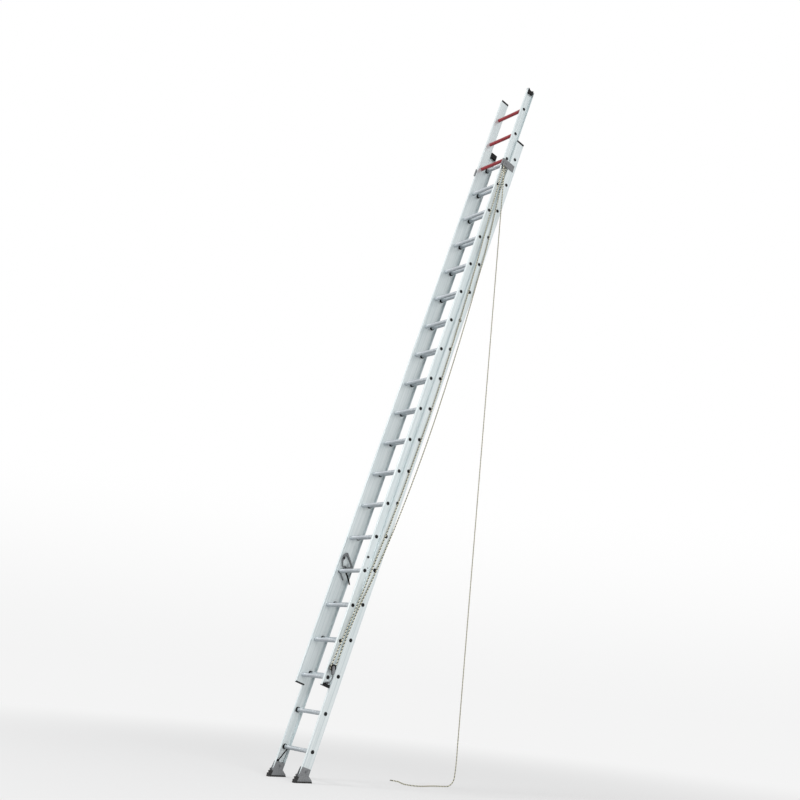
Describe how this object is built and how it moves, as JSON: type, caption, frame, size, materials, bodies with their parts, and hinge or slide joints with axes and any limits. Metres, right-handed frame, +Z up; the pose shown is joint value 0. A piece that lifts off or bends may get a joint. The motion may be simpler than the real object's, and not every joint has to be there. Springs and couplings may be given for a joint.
{
  "type": "extension ladder",
  "caption": "Two-section extension ladder with interlocking channel rails, round rungs, rung locks, swivel shoes and a hoisting rope over two sheaves, leaning as in use.",
  "frame": {"origin": "on the floor, midway between the pivots of the two shoes", "axes": "+Z up, +Y to the wall that the ladder leans on, +X to the climber's right"},
  "size_m": [0.4595, 1.9253, 6.615],
  "materials": {
    "aluminium": "extruded, fine lengthwise lines, satin",
    "rung_aluminium": "extruded, fluted treads, satin",
    "red_coat": "dark red coating, satin",
    "cast_grey": "cast and stamped, dull",
    "black_plastic": "moulded, matt",
    "zinc_steel": "zinc plated, satin",
    "rubber": "ribbed sole, matt",
    "rope": "braided, cream with dark flecks"
  },
  "bodies": {
    "base": {"base_rail_left": "aluminium", "base_rail_right": "aluminium", "base_rung_01": "rung_aluminium", "base_rung_02": "rung_aluminium", "base_rung_03": "rung_aluminium", "base_rung_04": "rung_aluminium", "base_rung_05": "rung_aluminium", "base_rung_06": "rung_aluminium", "base_rung_07": "rung_aluminium", "base_rung_08": "rung_aluminium", "base_rung_09": "rung_aluminium", "base_rung_10": "rung_aluminium", "base_rung_11": "rung_aluminium", "base_rung_12": "rung_aluminium", "base_rung_13": "rung_aluminium", "base_rung_14": "rung_aluminium", "base_rung_15": "rung_aluminium", "base_rung_16": "rung_aluminium", "base_rung_17": "rung_aluminium", "base_rung_18": "rung_aluminium", "base_rung_19": "rung_aluminium", "base_rung_20": "rung_aluminium", "guide_bracket_left": "cast_grey", "guide_bracket_right": "cast_grey", "rope_fall_front": "rope", "rope_fall_back": "rope", "rope_haul": "rope"},
    "fly": {"fly_rail_left": "aluminium", "fly_rail_right": "aluminium", "fly_rung_01": "rung_aluminium", "fly_rung_02": "rung_aluminium", "fly_rung_03": "rung_aluminium", "fly_rung_04": "rung_aluminium", "fly_rung_05": "rung_aluminium", "fly_rung_06": "rung_aluminium", "fly_rung_07": "rung_aluminium", "fly_rung_08": "rung_aluminium", "fly_rung_09": "rung_aluminium", "fly_rung_10": "rung_aluminium", "fly_rung_11": "rung_aluminium", "fly_rung_12": "rung_aluminium", "fly_rung_13": "rung_aluminium", "fly_rung_14": "rung_aluminium", "fly_rung_15": "rung_aluminium", "fly_rung_16": "rung_aluminium", "fly_rung_17": "rung_aluminium", "fly_rung_18": "red_coat", "fly_rung_19": "red_coat", "fly_rung_20": "red_coat", "lower_block": "cast_grey"},
    "lock_left": {"lock_hook_left": "zinc_steel"},
    "lock_right": {"lock_hook_right": "zinc_steel"},
    "finger_left": {"lock_finger_left": "black_plastic"},
    "finger_right": {"lock_finger_right": "black_plastic"},
    "shoe_left": {"shoe_left": "cast_grey", "shoe_pad_left": "rubber"},
    "shoe_right": {"shoe_right": "cast_grey", "shoe_pad_right": "rubber"},
    "top_wheel": {"top_sheave": "black_plastic"},
    "lower_wheel": {"lower_sheave": "black_plastic"}
  },
  "joints": [
    {"name": "fly_slide", "type": "slide", "parent": "base", "child": "fly", "axis": [0, 0.2756, 0.9613], "range_m": [0, 4.2672], "deforming": ["rope_fall_front", "rope_fall_back"]},
    {"name": "lock_left_swing", "type": "hinge", "parent": "fly", "child": "lock_left", "pos_m": [-0.1727, 0.39833, 1.79967], "axis": [1, 0, 0], "range_deg": [0, 45], "stiffness_Nm_per_rad": 0.4, "springref_deg": -34.38},
    {"name": "finger_left_swing", "type": "hinge", "parent": "fly", "child": "finger_left", "pos_m": [-0.1624, 0.40786, 1.70905], "axis": [1, 0, 0], "range_deg": [-44, 0], "stiffness_Nm_per_rad": 0.1, "springref_deg": 34.38},
    {"name": "shoe_left_swivel", "type": "hinge", "parent": "base", "child": "shoe_left", "pos_m": [-0.1915, 0, 0.084], "axis": [1, 0, 0], "range_deg": [-25, 75]},
    {"name": "lock_right_swing", "type": "hinge", "parent": "fly", "child": "lock_right", "pos_m": [0.1727, 0.39833, 1.79967], "axis": [1, 0, 0], "range_deg": [0, 45], "stiffness_Nm_per_rad": 0.4, "springref_deg": -34.38},
    {"name": "finger_right_swing", "type": "hinge", "parent": "fly", "child": "finger_right", "pos_m": [0.1624, 0.40786, 1.70905], "axis": [1, 0, 0], "range_deg": [-44, 0], "stiffness_Nm_per_rad": 0.1, "springref_deg": 34.38},
    {"name": "shoe_right_swivel", "type": "hinge", "parent": "base", "child": "shoe_right", "pos_m": [0.1915, 0, 0.084], "axis": [1, 0, 0], "range_deg": [-25, 75]},
    {"name": "top_wheel_spin", "type": "hinge", "parent": "base", "child": "top_wheel", "pos_m": [0.2166, 1.51487, 5.71165], "axis": [1, 0, 0], "continuous": true},
    {"name": "lower_wheel_spin", "type": "hinge", "parent": "fly", "child": "lower_wheel", "pos_m": [0.2166, 0.14356, 0.88579], "axis": [1, 0, 0], "continuous": true}
  ]
}
